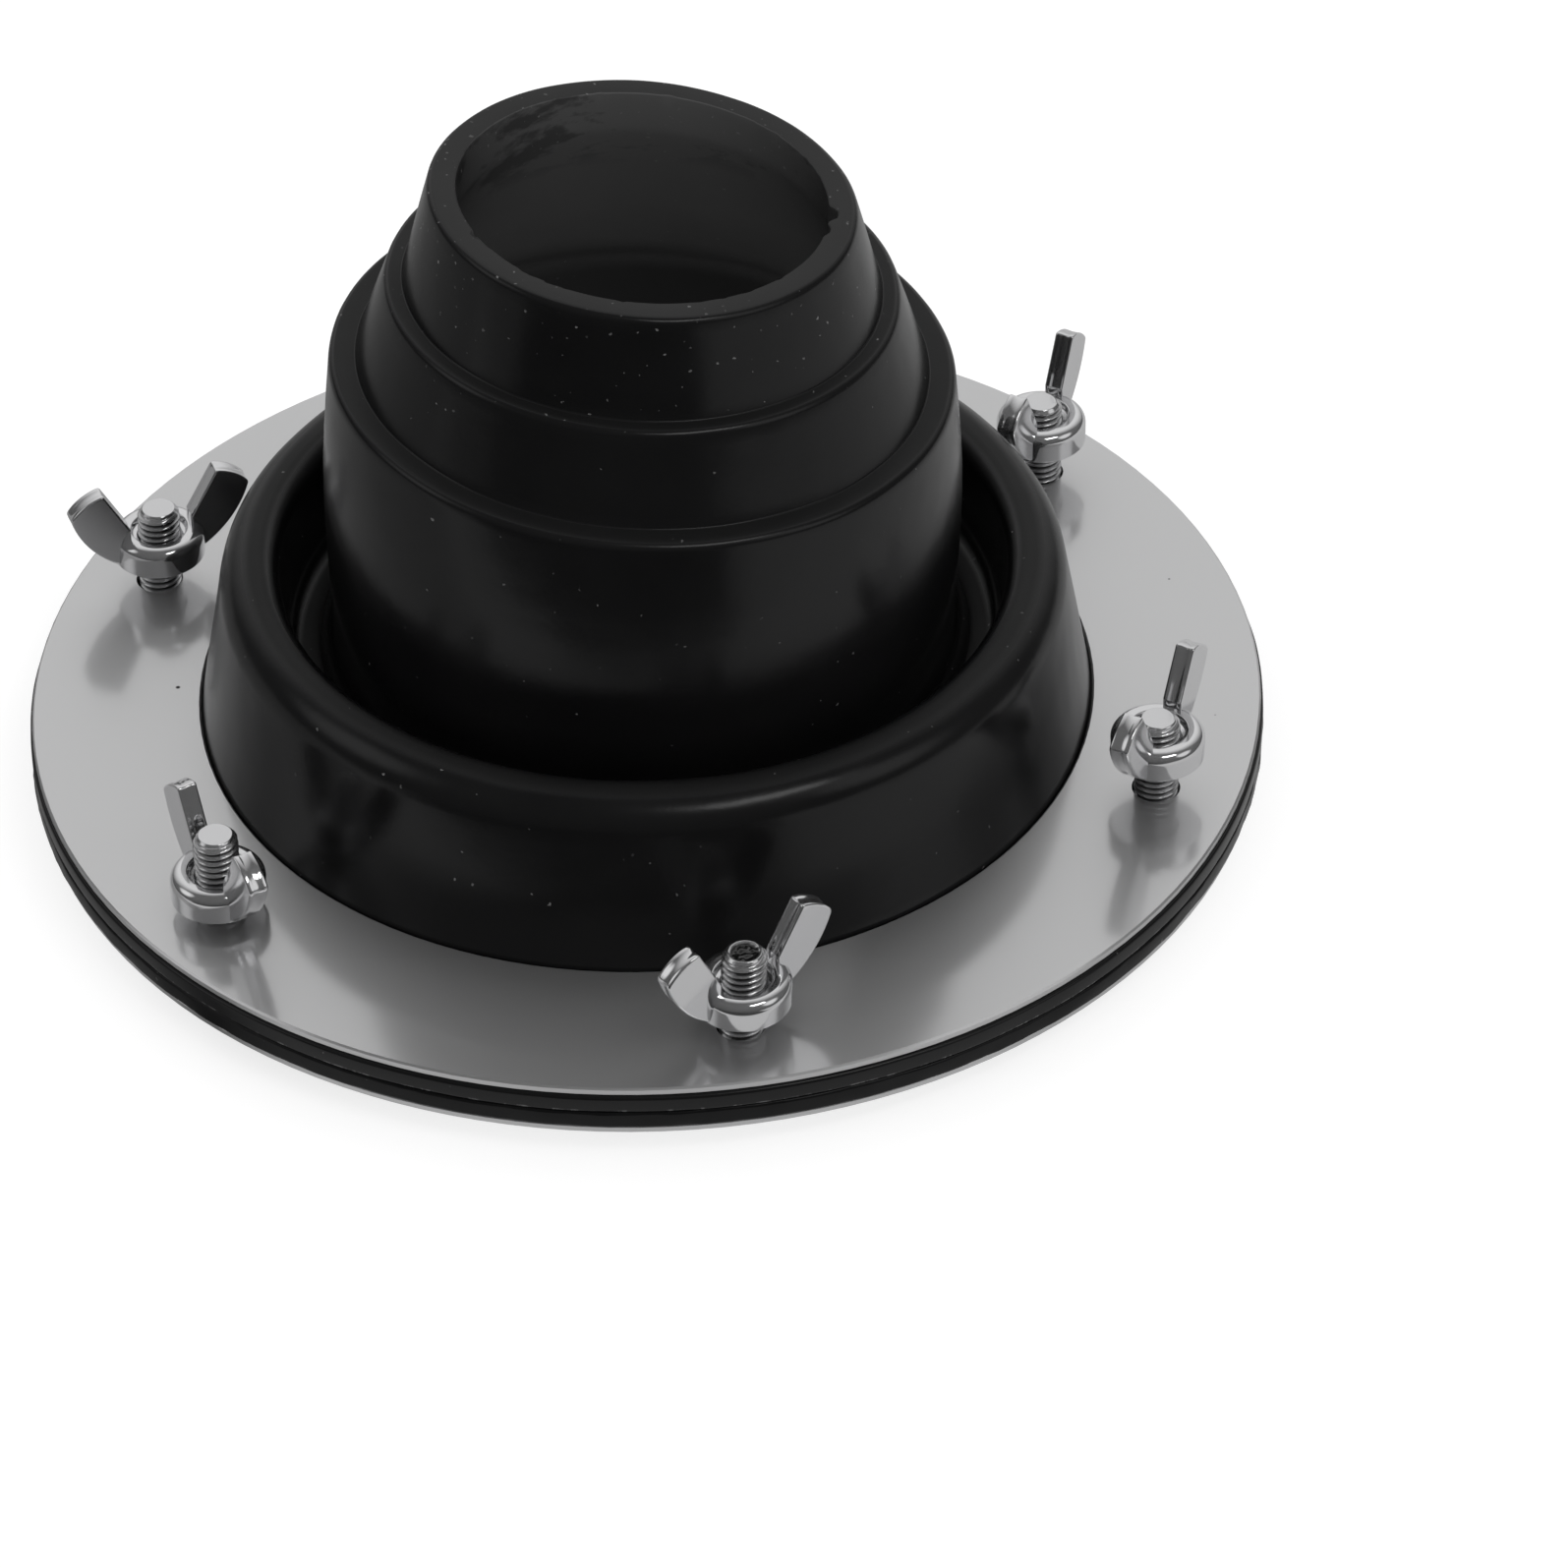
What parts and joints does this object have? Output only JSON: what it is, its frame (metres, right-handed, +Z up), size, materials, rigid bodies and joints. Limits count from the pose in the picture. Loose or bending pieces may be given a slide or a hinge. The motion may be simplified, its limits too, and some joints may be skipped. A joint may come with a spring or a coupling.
{
  "type": "tent stove jack",
  "caption": "Black stepped rubber boot that seals a stove pipe in a tent roof, clamped between two flat steel rings by bolts with wing nuts.",
  "frame": {"origin": "centre of the part's footprint, on the plane of the bolt heads' undersides", "axes": "+Z up through the middle of the clamp rings; the trimmed rim and steps dip towards +X; the picture looks along +Y"},
  "size_m": [0.1708, 0.1708, 0.095],
  "materials": {
    "boot_rubber": "satin moulded",
    "gasket_rubber": "matte cut",
    "ring_steel": "satin sheet",
    "bolt_steel": "bright zinc",
    "nut_steel": "bright plated"
  },
  "bodies": {
    "root": {"boot": "boot_rubber", "gasket_ring": "gasket_rubber", "top_clamp_ring": "ring_steel", "bottom_clamp_ring": "ring_steel", "hex_bolt_1": "bolt_steel", "hex_bolt_2": "bolt_steel", "hex_bolt_3": "bolt_steel", "hex_bolt_4": "bolt_steel", "hex_bolt_5": "bolt_steel", "hex_bolt_6": "bolt_steel", "wing_nut_1": "nut_steel", "wing_nut_2": "nut_steel", "wing_nut_3": "nut_steel", "wing_nut_4": "nut_steel", "wing_nut_5": "nut_steel", "wing_nut_6": "nut_steel"}
  },
  "joints": []
}
